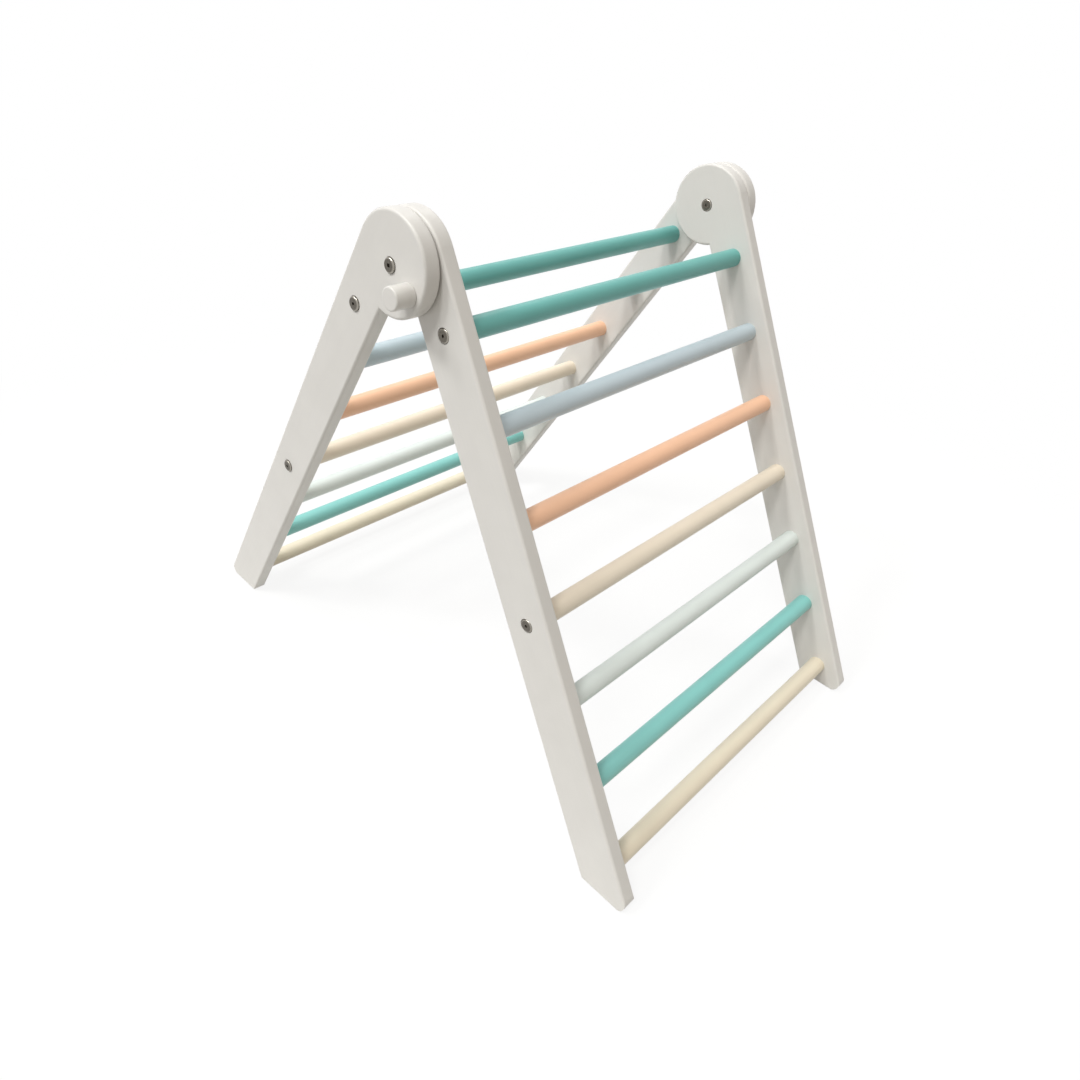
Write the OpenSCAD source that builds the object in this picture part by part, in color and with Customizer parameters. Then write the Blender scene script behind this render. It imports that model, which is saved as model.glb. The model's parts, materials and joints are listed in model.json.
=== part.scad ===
// Folding climbing triangle for small children, in millimetres.
//
// Two ladders of painted wood share one pivot line. The rails of the back ladder stand outside
// those of the front ladder, and each rail ends in an eccentric disc head, so that the ladders
// lie side by side when they are folded. X runs along the rungs, the front ladder leans towards
// -Y, Z is up, and the origin lies on the floor below the middle of the pivot line.
//
// A rail is drawn in its own leg frame: the pivot is the origin, the leg hangs straight down
// along -Z, and its outer side faces -Y. In that frame a place is given by its distance "along"
// the leg from the pivot, and its distance "out" from the line through the pivot.

/* [Frame] */
// Angle between the two ladders when they stand open, in degrees
open_angle = 59; // [50:1:66]
// Clear width between the rails of the inner, front ladder
inner_w = 590; // [400:5:800]
// Gap between the two discs of a joint, which the washer fills
head_gap = 2; // [1.6:0.1:4]
// Play left between a folded rail and the other ladder's rungs
fold_clear = 1; // [0.5:0.5:4]

/* [Rails] */
// Thickness of a rail
rail_t = 22; // [20:1:28]
// Width of a rail, seen from the side
rail_w = 73; // [66:1:80]
// Diameter of the disc that a rail ends in
head_d = 123; // [117:1:132]
// Radius of the rounding along every outer edge of a rail
edge_r = 4; // [1:0.5:5]
// Radius of the two corners of a foot, seen from the side
foot_corner_r = 17; // [4:1:20]
// Distance along the leg from the lowest rung's middle to the floor
foot_reach = 40; // [30:1:80]

/* [Rungs] */
// Diameter of a rung
rung_d = 28; // [24:1:32]
// Distance between neighbouring rungs, along the leg
rung_pitch = 120; // [90:1:140]
// Distance from the pivot to the highest rung, along the leg
first_rung_reach = 90; // [84:1:110]
// Depth of the socket that a rung's end is glued into
rung_depth = 11; // [7:1:13]
// Chamfer on the ends of a rung, inside its sockets
rung_chamfer = 1; // [0.5:0.5:2]

/* [Rung bolts] */
// Thread diameter of a rung bolt
bolt_d = 6; // [5:1:7]
// Length of a rung bolt under its head
bolt_l = 38; // [34:1:48]
// Diameter of the round head of a rung bolt
bolt_head_d = 18.5; // [14:0.5:20]
// Height of that head
bolt_head_h = 3.4; // [3:0.1:3.9]
// Size across the flats of its hexagon socket
bolt_hex = 4; // [3:0.5:4.5]
// Outer diameter of the threaded insert in a rung's end
insert_d = 10; // [9:0.5:12]
// Length of that insert
insert_l = 16; // [12:1:20]

/* [Heads of bolts and sleeves] */
// Rounding of a head's edge
head_round = 2.4; // [1:0.2:2.8]
// Depth of a head's hexagon socket
socket_depth = 2.4; // [1.6:0.1:2.6]
// Depth of the recess of a head on an outer rail, which nothing passes
outer_recess = 0.6; // [0.4:0.1:1.5]
// Depth of the recess of a head on an inner rail, which passes the outer rail as it folds
inner_recess = 2.2; // [1.8:0.1:2.8]
// Play all round a head in its recess
head_clear = 0.5; // [0.3:0.1:1]

/* [Pivot] */
// Thread diameter of the pivot bolt
pivot_bolt_d = 8; // [6:1:9]
// Diameter of the pivot sleeve that the front ladder turns on
sleeve_d = 12; // [11:0.5:14]
// Diameter of the round heads of the pivot bolt and sleeve
pivot_head_d = 18.5; // [16:0.5:22]
// Height of those heads
pivot_head_h = 3.4; // [3:0.1:4.2]
// Size across the flats of their hexagon sockets
pivot_hex = 5; // [4:0.5:6]
// How far the sleeve reaches into the outer rail
sleeve_reach = 13; // [8:1:16]
// Outer diameter of the washer between the discs
washer_d = 44; // [30:1:56]

/* [Lock] */
// Distance from the pivot line to the axis of the locking screw
lock_r = 41; // [38:0.5:46]
// Angle of the locking screw from the back leg's own line, in degrees
lock_angle = 84; // [80:1:96]
// Diameter of the locking knob, cut from the same rod as the rungs
knob_d = 28; // [22:1:34]
// Length of the knob
knob_l = 27; // [20:1:34]
// Rounding of the knob's outer end
knob_round = 2.5; // [1:0.5:4]
// Thread diameter of the locking screw
lock_screw_d = 8; // [6:1:8]
// How deep the screw is glued into the knob
lock_screw_hold = 17; // [10:1:18]
// Outer diameter of the threaded insert of the lock
lock_insert_d = 12; // [11:0.5:14]
// Length of that insert
lock_insert_l = 15; // [10:1:16]
// Diameter of the pressure pad at the screw's tip
pad_d = 11.4; // [10:0.2:13]
// Thickness of the pressure pad
pad_t = 6; // [5:0.5:7]
// Diameter of the screw's nose, inside the pad
nose_d = 5; // [4:0.5:5.5]
// Length of that nose
nose_l = 3; // [2:0.5:3.5]
// Depth of the curved groove that the pad runs in
groove_depth = 10; // [8:0.5:12]
// How much wider than the groove the round seats at its two ends are
seat_wider = 1; // [0.6:0.2:2]

/* [Fits] */
// Play all round a piece that is glued, pressed or screwed in
glue_clear = 0.05; // [0.02:0.01:0.2]
// Radial play of the front ladder on its pivot sleeve
run_clear = 0.08; // [0.03:0.01:0.1]
// Play between flat faces that turn or slide past each other
face_clear = 0.3; // [0.2:0.05:0.5]
// Radial play of a bolt in a drilled hole
drill_clear = 0.3; // [0.2:0.05:0.5]

/* [Hidden] */
$fn = 96;

// Paint of the rungs, from the highest to the lowest, the same on both ladders
rung_colours = ["#62bdb2", "#b5c8d6", "#f3b696", "#e6dfc9", "#cfdedb", "#62bdb2", "#e9e2c8"];
paint_white = "#ecebe6";
bare_steel = "#77736c";
brass = "#b89b5e";
nylon = "#d9d7cf";

rung_count = len(rung_colours);
// Rungs that a bolt holds as well as glue
bolted_rungs = [1, 4];

half_open = open_angle / 2;
head_r = head_d / 2;
// Inner side of a rail, out from the pivot: its outer side is level with the disc's rim
rail_inner = head_r - rail_w;
// A folded rail passes the other ladder's rungs with fold_clear to spare
rung_out = rung_d / 2 - rail_inner + fold_clear;

last_rung = first_rung_reach + (rung_count - 1) * rung_pitch;
pivot_h = (last_rung + foot_reach) * cos(half_open) - rung_out * sin(half_open);

inner_x = inner_w / 2;
outer_x = inner_x + rail_t + head_gap;
face_x = outer_x + rail_t;

lock_front_angle = lock_angle - open_angle;
groove_w = pad_d + 2 * face_clear;
// Steel between a sleeve's seat and the bore for the pivot bolt
sleeve_floor = 2.8;
nylon_play = 0.2;
cut = 1;
past_edge = 10;

// ---- places ----

function rung_along(i) = first_rung_reach + (i - 1) * rung_pitch;

// Distance along the leg at which the line "out" from the pivot is "lift" above the floor
function floor_along(out, lift) =
    (pivot_h + out * sin(half_open) - lift) / cos(half_open);

// A point of the side view: y and z of the leg frame
function side_point(out, along) = [-out, -along];

module front_leg() {
    translate([0, 0, pivot_h])
        rotate([-half_open, 0, 0])
            children();
}

module back_leg() {
    translate([0, 0, pivot_h])
        rotate([half_open, 0, 0])
            mirror([0, 1, 0])
                children();
}

module left_side() {
    mirror([1, 0, 0])
        children();
}

module both_sides() {
    children();
    left_side()
        children();
}

// ---- shapes ----

// A rod or hole along +X from x, at a place of the leg frame
module rod(d, l, x, out, along) {
    translate([x, -out, -along])
        rotate([0, 90, 0])
            cylinder(d = d, h = l);
}

// A side view drawn in y and z, carried along +X from x
module carried(x, l) {
    translate([x, 0, 0])
        rotate([90, 0, 90])
            linear_extrude(l)
                children();
}

module rounded_rectangle(w, h, r) {
    translate([r, 0])
        square([w - 2 * r, h]);
    translate([0, r])
        square([w, h - 2 * r]);
    for (x = [r, w - r], y = [r, h - r])
        translate([x, y])
            circle(r);
}

// The disc head: a plate with a rounded rim, on the pivot line
module disc_head() {
    rotate([0, 90, 0])
        rotate_extrude()
            intersection() {
                translate([-head_r, 0])
                    rounded_rectangle(2 * head_r, rail_t, edge_r);
                square([head_r, rail_t]);
            }
}

// The straight of a rail, from the pivot to well past the floor
module rail_straight() {
    length = floor_along(head_r, 0) + past_edge;
    translate([0, -head_r, -length])
        linear_extrude(length)
            rounded_rectangle(rail_t, rail_w, edge_r);
}

// Side view of all that stands above the floor, with the foot's corners rounded
module foot_outline() {
    r = foot_corner_r;
    far = head_r + past_edge;
    tip_out = head_r - r;
    heel_out = rail_inner + r;
    tip = floor_along(tip_out, r);
    heel = floor_along(heel_out, r);
    down = [r * sin(half_open), -r * cos(half_open)];
    polygon([
        side_point(far, -far),
        side_point(far, tip),
        side_point(tip_out, tip),
        side_point(tip_out, tip) + down,
        side_point(heel_out, heel) + down,
        side_point(heel_out, heel),
        side_point(-far, heel),
        side_point(-far, -far)
    ]);
    translate(side_point(tip_out, tip))
        circle(r);
    translate(side_point(heel_out, heel))
        circle(r);
}

// A bar lying along the floor, whose lower edges round off the foot's sole
module sole_rounding() {
    depth = 4 * head_d;
    foot_y = -pivot_h * tan(half_open);
    rotate([half_open, 0, 0])
        translate([0, foot_y + depth, -pivot_h])
            rotate([90, 0, 0])
                linear_extrude(2 * depth)
                    rounded_rectangle(rail_t, pivot_h + 2 * head_d, edge_r);
}

// All that stands above the floor, where the rail with its inner face on x stands
module above_floor(x) {
    intersection() {
        carried(x - cut, rail_t + 2 * cut)
            foot_outline();
        translate([x, 0, 0])
            sole_rounding();
    }
}

// A rail without its holes, with its inner face on x
module rail_blank(x) {
    intersection() {
        translate([x, 0, 0])
            union() {
                disc_head();
                rail_straight();
            }
        above_floor(x);
    }
}

// Blind sockets for the rungs, and the bolt holes of those that are bolted, where a bolt head
// lies in a recess of that depth
module rung_holes(x, recess) {
    for (i = [1 : rung_count])
        rod(rung_d + 2 * glue_clear, rung_depth + cut, x - cut, rung_out, rung_along(i));
    for (i = bolted_rungs) {
        rod(bolt_d + 2 * drill_clear, rail_t + 2 * cut, x - cut, rung_out, rung_along(i));
        rod(bolt_head_d + 2 * head_clear, recess + cut, x + rail_t - recess,
            rung_out, rung_along(i));
    }
}

// Profile of a rod or head that is turned round +Y and stands on y = 0, with its top edge rounded
module turned_profile(d, h, r) {
    square([d / 2, h - r]);
    square([d / 2 - r, h]);
    intersection() {
        translate([d / 2 - r, h - r])
            circle(r);
        square([d, 2 * h]);
    }
}

// Round head with a rounded edge, standing on x = 0 and facing +X, with a hexagon socket
module round_head(d, h, hex) {
    rotate([0, 90, 0])
        difference() {
            rotate_extrude()
                turned_profile(d, h, head_round);
            translate([0, 0, h - socket_depth])
                cylinder(d = hex / cos(30), h = socket_depth + cut, $fn = 6);
        }
}

// ---- rails ----

module outer_rail() {
    difference() {
        rail_blank(outer_x);
        rung_holes(outer_x, outer_recess);
        // the sleeve's end, the pivot bolt and its head
        rod(sleeve_d + 2 * glue_clear, sleeve_reach + drill_clear + cut, outer_x - cut, 0, 0);
        rod(pivot_bolt_d + 2 * drill_clear, rail_t + 2 * cut, outer_x - cut, 0, 0);
        rod(pivot_head_d + 2 * head_clear, outer_recess + cut, face_x - outer_recess, 0, 0);
    }
}

module inner_rail() {
    difference() {
        rail_blank(inner_x);
        rung_holes(inner_x, inner_recess);
        // running bore for the sleeve, and the recess of its head
        rod(sleeve_d + 2 * run_clear, rail_t + 2 * cut, inner_x - cut, 0, 0);
        rod(pivot_head_d + 2 * head_clear, inner_recess + cut, inner_x - cut, 0, 0);
    }
}

// Place of the locking screw in the back leg's frame: on the side of the disc that bulges in
module at_lock_in_back() {
    translate([0, lock_r * sin(lock_angle), -lock_r * cos(lock_angle)])
        children();
}

// Curved groove in the outer face of the front rail, with a round seat for the pad at the open
// and at the folded place
module lock_groove() {
    translate([outer_x - head_gap - groove_depth, 0, 0])
        rotate([0, 90, 0]) {
            rotate([0, 0, -lock_angle])
                rotate_extrude(angle = open_angle)
                    translate([lock_r - groove_w / 2, 0])
                        square([groove_w, groove_depth + cut]);
            for (a = [lock_front_angle, lock_angle])
                rotate([0, 0, -a])
                    translate([lock_r, 0, 0])
                        cylinder(d = groove_w + seat_wider, h = groove_depth + cut);
        }
}

module back_right_rail() {
    color(paint_white)
        back_leg()
            outer_rail();
}

module back_left_rail() {
    color(paint_white)
        back_leg()
            left_side()
                difference() {
                    outer_rail();
                    // the locking screw's insert and its way through to the groove
                    at_lock_in_back() {
                        rod(lock_insert_d + 2 * glue_clear, lock_insert_l + cut,
                            face_x - lock_insert_l, 0, 0);
                        rod(lock_screw_d + 2 * drill_clear, rail_t + 2 * cut,
                            outer_x - cut, 0, 0);
                    }
                }
}

module front_right_rail() {
    color(paint_white)
        front_leg()
            inner_rail();
}

module front_left_rail() {
    color(paint_white)
        front_leg()
            left_side()
                difference() {
                    inner_rail();
                    lock_groove();
                }
}

// ---- rungs ----

// A rung between two rails whose inner faces are at x and -x
module rung(i, x) {
    half = x + rung_depth - glue_clear;
    bolted = len(search(i, bolted_rungs)) > 0;
    color(rung_colours[i - 1])
        translate([0, -rung_out, -rung_along(i)])
            difference() {
                rotate([0, 90, 0])
                    rotate_extrude()
                        polygon([
                            [0, -half],
                            [rung_d / 2 - rung_chamfer, -half],
                            [rung_d / 2, -half + rung_chamfer],
                            [rung_d / 2, half - rung_chamfer],
                            [rung_d / 2 - rung_chamfer, half],
                            [0, half]
                        ]);
                if (bolted)
                    both_sides() {
                        rod(insert_d + 2 * glue_clear, insert_l + cut, half - insert_l, 0, 0);
                        rod(bolt_d + 2 * drill_clear, bolt_l, half - bolt_l, 0, 0);
                    }
            }
}

module back_rung(i) {
    back_leg()
        rung(i, outer_x);
}

module front_rung(i) {
    front_leg()
        rung(i, inner_x);
}

// ---- rung bolts and their inserts ----

module rung_bolts(x, recess) {
    seat = x + rail_t - recess;
    color(bare_steel)
        both_sides()
            for (i = bolted_rungs)
                translate([seat, -rung_out, -rung_along(i)]) {
                    round_head(bolt_head_d, bolt_head_h, bolt_hex);
                    rod(bolt_d, bolt_l, -bolt_l, 0, 0);
                }
}

module rung_inserts(x) {
    rung_end = x + rung_depth - glue_clear;
    color(brass)
        both_sides()
            for (i = bolted_rungs)
                difference() {
                    rod(insert_d, insert_l, rung_end - insert_l, rung_out, rung_along(i));
                    rod(bolt_d + 2 * glue_clear, insert_l + 2 * cut,
                        rung_end - insert_l - cut, rung_out, rung_along(i));
                }
}

// ---- pivot hardware, drawn for the right side in the pivot's own frame ----

module pivot_bolt() {
    seat = face_x - outer_recess;
    shank = rail_t - outer_recess + head_gap + rail_t / 2;
    color(bare_steel) {
        translate([seat, 0, 0])
            round_head(pivot_head_d, pivot_head_h, pivot_hex);
        rod(pivot_bolt_d, shank, seat - shank, 0, 0);
    }
}

module pivot_sleeve() {
    seat = inner_x + inner_recess - face_clear;
    barrel = outer_x + sleeve_reach - seat;
    color(bare_steel)
        difference() {
            union() {
                translate([seat, 0, 0])
                    mirror([1, 0, 0])
                        round_head(pivot_head_d, pivot_head_h, pivot_hex);
                rod(sleeve_d, barrel, seat, 0, 0);
            }
            rod(pivot_bolt_d + 2 * glue_clear, barrel, seat + sleeve_floor, 0, 0);
        }
}

module washer() {
    thickness = head_gap - face_clear;
    color(nylon)
        difference() {
            rod(washer_d, thickness, outer_x - thickness, 0, 0);
            rod(sleeve_d + 2 * nylon_play, head_gap + cut, outer_x - head_gap, 0, 0);
        }
}

module at_pivot() {
    translate([0, 0, pivot_h])
        children();
}

// ---- lock, drawn in the back leg's frame with the screw's axis on the pivot line ----

module on_lock_axis() {
    back_leg()
        left_side()
            at_lock_in_back()
                children();
}

pad_seat = outer_x - head_gap - groove_depth + face_clear;
pad_top = pad_seat + pad_t;
knob_seat = face_x + face_clear;

module lock_insert() {
    color(brass)
        on_lock_axis()
            difference() {
                rod(lock_insert_d, lock_insert_l, face_x - lock_insert_l, 0, 0);
                rod(lock_screw_d + 2 * run_clear, lock_insert_l + 2 * cut,
                    face_x - lock_insert_l - cut, 0, 0);
            }
}

// Threaded screw with a nose that turns in the pad
module lock_screw() {
    shank = knob_seat + lock_screw_hold - pad_top - glue_clear;
    color(bare_steel)
        on_lock_axis() {
            rod(lock_screw_d, shank, pad_top + glue_clear, 0, 0);
            rod(nose_d, nose_l + cut, pad_top - nose_l, 0, 0);
        }
}

// Pad that presses on the floor of the groove and doesn't turn with the screw
module lock_pad() {
    color(brass)
        on_lock_axis()
            difference() {
                rod(pad_d, pad_t, pad_seat, 0, 0);
                rod(nose_d + 2 * run_clear, nose_l + face_clear + cut,
                    pad_top - nose_l - face_clear, 0, 0);
            }
}

module lock_knob() {
    color(paint_white)
        on_lock_axis()
            difference() {
                translate([knob_seat, 0, 0])
                    rotate([0, 90, 0])
                        rotate_extrude()
                            turned_profile(knob_d, knob_l, knob_round);
                rod(lock_screw_d + 2 * glue_clear, lock_screw_hold + glue_clear + cut,
                    knob_seat - cut, 0, 0);
            }
}

// ---- the whole object, one node at a time ----

back_left_rail();
back_right_rail();
front_left_rail();
front_right_rail();
for (i = [1 : rung_count]) {
    back_rung(i);
    front_rung(i);
}
back_leg() rung_bolts(outer_x, outer_recess);  // back_rung_bolts
front_leg() rung_bolts(inner_x, inner_recess);  // front_rung_bolts
back_leg() rung_inserts(outer_x);  // back_rung_inserts
front_leg() rung_inserts(inner_x);  // front_rung_inserts
at_pivot() left_side() pivot_bolt();  // left_pivot_bolt
at_pivot() pivot_bolt();  // right_pivot_bolt
at_pivot() left_side() pivot_sleeve();  // left_pivot_sleeve
at_pivot() pivot_sleeve();  // right_pivot_sleeve
at_pivot() left_side() washer();  // left_washer
at_pivot() washer();  // right_washer
lock_knob();
lock_screw();
lock_insert();
lock_pad();
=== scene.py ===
"""Looks of a folding climbing triangle of painted wood, built round its CAD frame.

Two ladders with white rails and coloured round rungs share one hinge line at their disc-shaped
heads. X runs along the rungs, the front ladder leans towards -Y and the back ladder towards +Y,
and the floor is at Z = 0. The rails are the CAD's own solids with a painted finish. The rungs,
the bolts and the other turned pieces are made here, finer, in the places of their CAD solids.
Sizes of the pieces are in millimetres. Places that come from the frame and the sizes of the
studio are in metres.
"""

import json
import logging
import math
from dataclasses import dataclass, field, replace
from enum import Enum
from typing import Any

import bmesh
import bpy
from mathutils import Matrix, Vector

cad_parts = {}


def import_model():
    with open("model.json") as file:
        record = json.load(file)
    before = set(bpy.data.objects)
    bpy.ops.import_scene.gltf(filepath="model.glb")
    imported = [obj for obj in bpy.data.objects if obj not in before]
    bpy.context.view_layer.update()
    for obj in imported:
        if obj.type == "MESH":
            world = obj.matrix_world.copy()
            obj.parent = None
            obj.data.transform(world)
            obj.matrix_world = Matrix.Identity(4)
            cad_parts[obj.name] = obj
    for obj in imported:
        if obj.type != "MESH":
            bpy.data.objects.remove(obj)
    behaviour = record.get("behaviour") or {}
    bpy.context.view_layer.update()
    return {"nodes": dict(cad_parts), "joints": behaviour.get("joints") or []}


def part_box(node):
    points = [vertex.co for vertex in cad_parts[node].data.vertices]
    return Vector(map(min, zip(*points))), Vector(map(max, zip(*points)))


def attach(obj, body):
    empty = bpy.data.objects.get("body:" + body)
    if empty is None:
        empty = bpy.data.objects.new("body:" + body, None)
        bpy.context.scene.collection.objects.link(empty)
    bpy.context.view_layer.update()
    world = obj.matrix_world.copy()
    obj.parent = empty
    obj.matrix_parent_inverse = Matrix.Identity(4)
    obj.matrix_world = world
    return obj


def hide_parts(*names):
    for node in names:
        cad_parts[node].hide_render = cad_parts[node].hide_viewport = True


Mesh = bpy.types.Mesh
Node = bpy.types.Node
NodeTree = bpy.types.NodeTree
Socket = bpy.types.NodeSocket
Inputs = dict[str | int, Any]
Place = tuple[float, float, float]

LOG = logging.getLogger("climbing_triangle")

MM = 0.001
PHOTO_WIDTH = 1080
BOLTED_RUNGS = (1, 4)
PURE_WHITE = "#ffffff"
WHITE_PAINT = "#dfddd9"
# Edges that turn by more than this stay crisp, in degrees
CRISP = 32.0
# Point attribute: how much a metal's skin is lightened, 0 to 1, by wear and painted reflection
WEAR_AND_SHEEN = "worn"
# Numbers of a colour mix's two inputs and of its output
MIX_A, MIX_B, MIX_RESULT = 6, 7, 2


# ---- names and choices ----


class Named(Enum):
    """A choice whose name is also used in plain words."""

    @property
    def word(self) -> str:
        """Gives the name in plain words, as in the names of nodes."""
        return self.name.lower().replace("_", " ")


class Ladder(Named):
    """One of the two ladders, with the side of Y that its feet stand on."""

    FRONT = -1
    BACK = 1

    @property
    def body(self) -> str:
        """Gives the name of the body that the ladder is."""
        return f"{self.word}_ladder"


class End(Named):
    """One end of the hinge line, with its side of X."""

    LEFT = -1
    RIGHT = 1

    @property
    def turn(self) -> float:
        """Gives the turn about Z that makes a piece along +X face this end, in radians."""
        return 0.0 if self is End.RIGHT else math.pi


class RungPaint(Named):
    """The colours of the rungs: the slot of each paint and its colour."""

    TEAL = ("teal_paint", "#68b2ac")
    PALE_BLUE = ("pale_blue_paint", "#c5d4dc")
    PEACH = ("peach_paint", "#fdcba8")
    CREAM = ("cream_paint", "#efe4d1")
    MINT_GREY = ("mint_grey_paint", "#e2ebe8")
    # The same teal paint as the top rung, painted lighter for the stronger light on this rung
    TURQUOISE = ("teal_paint", "#8acfca")
    IVORY = ("ivory_paint", "#ede2cc")

    @property
    def slot(self) -> str:
        """Gives the name of the paint's slot."""
        return self.value[0]

    @property
    def colour(self) -> str:
        """Gives the paint's colour as sRGB hex."""
        return self.value[1]


# From the highest rung to the lowest, the same on both ladders
RUNG_ORDER = (
    RungPaint.TEAL, RungPaint.PALE_BLUE, RungPaint.PEACH, RungPaint.CREAM, RungPaint.MINT_GREY,
    RungPaint.TURQUOISE, RungPaint.IVORY,
)


# ---- nodes, colours and meshes ----


def linear_colour(code: str) -> tuple[float, float, float, float]:
    """Turns an sRGB hex colour to the linear one that shaders take.

    Args:
        code: Colour as "#rrggbb".

    Returns:
        Red, green, blue and an alpha of 1.
    """
    shares = [int(code[i : i + 2], 16) / 255 for i in (1, 3, 5)]
    linear = [s / 12.92 if s <= 0.04045 else ((s + 0.055) / 1.055) ** 2.4 for s in shares]
    return (*linear, 1.0)


def add_node(tree: NodeTree, kind: str, inputs: Inputs | None = None, **settings: Any) -> Node:
    """Adds a node with its settings, values and links.

    Args:
        tree: Tree of a material, of the world or of a modifier.
        kind: Blender's name of the node's type.
        inputs: For inputs by their name or number a value, or what to link from: a socket, or
            a node for its first output, or a list of these for an input that takes several.
        settings: Properties of the node.

    Returns:
        The new node.
    """
    node = tree.nodes.new(kind)
    for name, value in settings.items():
        setattr(node, name, value)
    for key, value in (inputs or {}).items():
        for source in value if isinstance(value, list) else [value]:
            if isinstance(source, Node):
                tree.links.new(source.outputs[0], node.inputs[key])
            elif isinstance(source, Socket):
                tree.links.new(source, node.inputs[key])
            else:
                node.inputs[key].default_value = source
    return node


@dataclass(frozen=True)
class Ring:
    """One ring of a turned shape: its place on the axis and its radius, in millimetres.

    A hexagon's radius is half its size across the flats.
    """

    x: float
    r: float
    hexagon: bool = False
    # Share of the skin that is lightened on metal, by wear and by painted reflection
    worn: float = 0.0

    def radius_at(self, turn: float) -> float:
        """Gives the distance from the axis in one direction.

        Args:
            turn: Direction in radians, from a corner of the hexagon.

        Returns:
            The distance in millimetres.
        """
        if not self.hexagon:
            return self.r
        sixth = math.pi / 3
        return self.r / math.cos(turn % sixth - sixth / 2)


def arc_rings(
    x: float, r: float, radius: float, start: float, end: float, steps: int
) -> list[Ring]:
    """Makes the rings of a rounding.

    Args:
        x: Place of the rounding's middle on the axis.
        r: Distance of that middle from the axis.
        radius: Radius of the rounding.
        start: Direction of the first ring in degrees, from +X towards the outside.
        end: Direction of the last ring in degrees.
        steps: Number of steps between them.

    Returns:
        The rings, first and last included.
    """
    span = end - start
    turns = [math.radians(start + span * i / steps) for i in range(steps + 1)]
    return [Ring(x + radius * math.cos(t), r + radius * math.sin(t)) for t in turns]


def turned_mesh(rings: list[Ring], facets: int = 48, tube: bool = False) -> Mesh:
    """Turns a profile round the X axis to a closed mesh.

    Args:
        rings: The profile. A ring without radius closes the shape with a single point.
        facets: Number of facets round the axis, a multiple of six.
        tube: Whether the last ring is joined to the first, as on a piece with a hole through.

    Returns:
        The mesh in metres, with its faces pointing outwards.
    """
    shape = bmesh.new()
    worn = shape.verts.layers.float.new(WEAR_AND_SHEEN)
    turns = [2 * math.pi * i / facets for i in range(facets)]
    loops = []
    for ring in rings:
        if ring.r == 0:
            loop = [shape.verts.new((ring.x * MM, 0, 0))] * facets
        else:
            radii = [ring.radius_at(t) * MM for t in turns]
            places = [(ring.x * MM, r * math.cos(t), r * math.sin(t)) for r, t in zip(radii, turns)]
            loop = [shape.verts.new(place) for place in places]
        for corner in loop:
            corner[worn] = ring.worn
        loops.append(loop)
    followers = loops[1:] + (loops[:1] if tube else [])
    for loop, after in zip(loops, followers):
        for i in range(facets):
            k = (i + 1) % facets
            corners = dict.fromkeys((loop[i], loop[k], after[k], after[i]))
            if len(corners) > 2:
                shape.faces.new(list(corners))
    bmesh.ops.recalc_face_normals(shape, faces=shape.faces)
    if shape.calc_volume(signed=True) < 0:
        bmesh.ops.reverse_faces(shape, faces=shape.faces)
    return finished_mesh(shape)


def finished_mesh(shape: bmesh.types.BMesh) -> Mesh:
    """Turns a shape under construction to a smooth mesh with crisp edges.

    Args:
        shape: The shape, which is freed.

    Returns:
        The mesh.
    """
    mesh = bpy.data.meshes.new("shape")
    shape.to_mesh(mesh)
    shape.free()
    smooth_mesh(mesh)
    return mesh


def smooth_mesh(mesh: Mesh) -> None:
    """Shades a mesh smooth, apart from its crisp edges."""
    mesh.polygons.foreach_set("use_smooth", [True] * len(mesh.polygons))
    mesh.set_sharp_from_angle(angle=math.radians(CRISP))


def joined_mesh(*meshes: Mesh) -> Mesh:
    """Joins closed meshes to one, each keeping its own shell.

    Args:
        meshes: The meshes.

    Returns:
        The new mesh.
    """
    shape = bmesh.new()
    for mesh in meshes:
        shape.from_mesh(mesh)
    return finished_mesh(shape)


def node_middle(node: str) -> Vector:
    """Gives the middle of a CAD node's box, in metres."""
    low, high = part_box(node)
    return (low + high) / 2


def node_reach(node: str) -> tuple[float, float, float]:
    """Measures a CAD node that lies along X at one end of the object.

    Args:
        node: Name of the node.

    Returns:
        Its smallest and largest distance from the middle of X, and its radius, in millimetres.
    """
    low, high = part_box(node)
    near, far = sorted((abs(low.x), abs(high.x)))
    return near / MM, far / MM, (high.z - low.z) / 2 / MM


def new_object(name: str, data: Any) -> bpy.types.Object:
    """Puts a new object in the scene.

    Args:
        name: Its name.
        data: Its mesh, light or camera.

    Returns:
        The object.
    """
    made = bpy.data.objects.new(name, data)
    bpy.context.scene.collection.objects.link(made)
    return made


def add_piece(name: str, mesh: Mesh, finish: "Finish", body: str, nodes: list[str]) -> None:
    """Puts a finished mesh in the scene as a piece of the object.

    Args:
        name: Name of the piece.
        mesh: Its mesh, in place.
        finish: Its finish.
        body: The body that it moves with.
        nodes: The CAD nodes that it stands for.
    """
    mesh.name = name
    if not mesh.materials:
        mesh.materials.append(finish.material())
    piece = new_object(name, mesh)
    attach(piece, body)
    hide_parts(*nodes)
    triangles = sum(len(face.vertices) - 2 for face in mesh.polygons)
    LOG.info("piece %s rides on %s, %d triangles", name, body, triangles)


def add_turned(node: str, mesh: Mesh, finish: "Finish", body: str, end: End) -> None:
    """Puts a piece made along +X on the axis of its CAD node, facing an end of the object.

    Args:
        node: The node that it stands for.
        mesh: Its mesh on the X axis, with x as at the right end.
        finish: Its finish.
        body: The body that it moves with.
        end: The end that it faces.
    """
    middle = node_middle(node)
    turn = Matrix.Rotation(end.turn, 4, "Z")
    mesh.transform(Matrix.Translation((0, middle.y, middle.z)) @ turn)
    add_piece(f"{node}_turned", mesh, finish, body, [node])


# ---- finishes ----


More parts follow.
